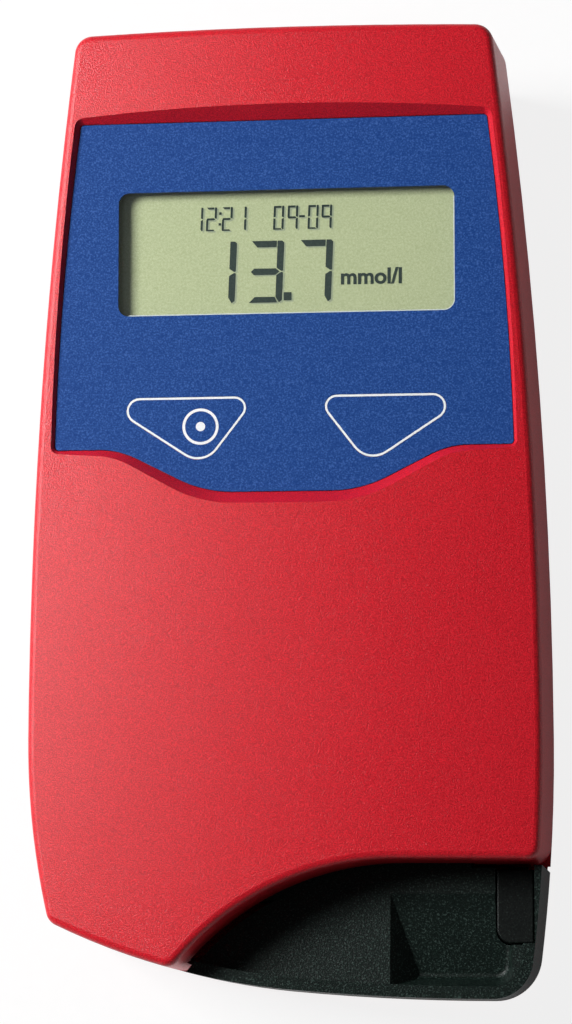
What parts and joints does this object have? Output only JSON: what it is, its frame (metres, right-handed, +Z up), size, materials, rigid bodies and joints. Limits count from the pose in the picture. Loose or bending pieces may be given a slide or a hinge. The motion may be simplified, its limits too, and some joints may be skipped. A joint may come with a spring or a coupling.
{
  "type": "glucose photometer",
  "caption": "Wedge-shaped table-top photometer with a display window and key patches on its sloping face and a swinging black arm that carries the cuvette into the light path.",
  "frame": {"origin": "centre of the housing's footprint, on the surface that the feet stand on", "axes": "+X to the user's right, +Y towards the raised display end, +Z up"},
  "size_m": [0.0852, 0.1584, 0.0431],
  "materials": {
    "housing_plastic": "satin with a fine grain",
    "film_print": "fine matt film",
    "window_pane": "clear and glossy",
    "key_print": "fine matt film",
    "dome_metal": "satin",
    "display_glass": "smooth",
    "holder_plastic": "satin",
    "strip_rubber": "matt",
    "board_laminate": "solder mask",
    "chip_resin": "matt",
    "can_metal": "satin",
    "screw_steel": "zinc plated",
    "arm_plastic": "textured black",
    "spring_steel": "bright",
    "block_plastic": "matt black",
    "lens_clear": "polished",
    "emitter_resin": "clear amber",
    "cell_jacket": "wrapped",
    "contact_nickel": "plated",
    "foot_rubber": "matt",
    "socket_plastic": "moulded"
  },
  "bodies": {
    "housing": {"top_cover": "housing_plastic", "bottom_cover": "housing_plastic", "keypad_overlay": "film_print", "display_window": "window_pane", "key_domes": "dome_metal", "lcd_glass": "display_glass", "lcd_holder": "holder_plastic", "contact_strips": "strip_rubber", "main_board": "board_laminate", "processor_chip": "chip_resin", "memory_chip": "chip_resin", "crystal": "can_metal", "buzzer": "chip_resin", "capacitors": "can_metal", "board_screws": "screw_steel", "arm_pivot_pin": "spring_steel", "optics_block": "block_plastic", "light_emitter": "emitter_resin", "focus_lens": "lens_clear", "photodiode": "can_metal", "detector_board": "board_laminate", "optics_screws": "screw_steel", "battery_cells": "cell_jacket", "battery_plates": "contact_nickel", "battery_springs": "contact_nickel", "rubber_feet": "foot_rubber", "case_screws": "screw_steel", "power_socket": "socket_plastic", "arm_switch": "chip_resin"},
    "arm": {"cuvette_arm": "arm_plastic", "catch_spring": "spring_steel"},
    "catch": {"release_catch": "arm_plastic"},
    "left_key": {"left_key": "key_print"},
    "right_key": {"right_key": "key_print"},
    "battery_door": {"battery_door": "housing_plastic"}
  },
  "joints": [
    {"name": "arm_swing", "type": "hinge", "parent": "housing", "child": "arm", "pos_m": [-0.0235, -0.0625, 0.01], "axis": [0, 0, 1], "range_deg": [-50, 0]},
    {"name": "catch_press", "type": "slide", "parent": "arm", "child": "catch", "axis": [0, 0, -1], "range_m": [0, 0.0012], "stiffness_N_per_m": 1000, "springref_m": -0.0008, "deforming": ["catch_spring"]},
    {"name": "left_key_press", "type": "slide", "parent": "housing", "child": "left_key", "axis": [0, 0.1045, -0.9945], "range_m": [0, 0.0004], "stiffness_N_per_m": 5000, "springref_m": -0.0001},
    {"name": "right_key_press", "type": "slide", "parent": "housing", "child": "right_key", "axis": [0, 0.1045, -0.9945], "range_m": [0, 0.0004], "stiffness_N_per_m": 5000, "springref_m": -0.0001},
    {"name": "battery_door_drop", "type": "slide", "parent": "housing", "child": "battery_door", "axis": [0, 0, -1], "range_m": [0, 0.02]}
  ]
}
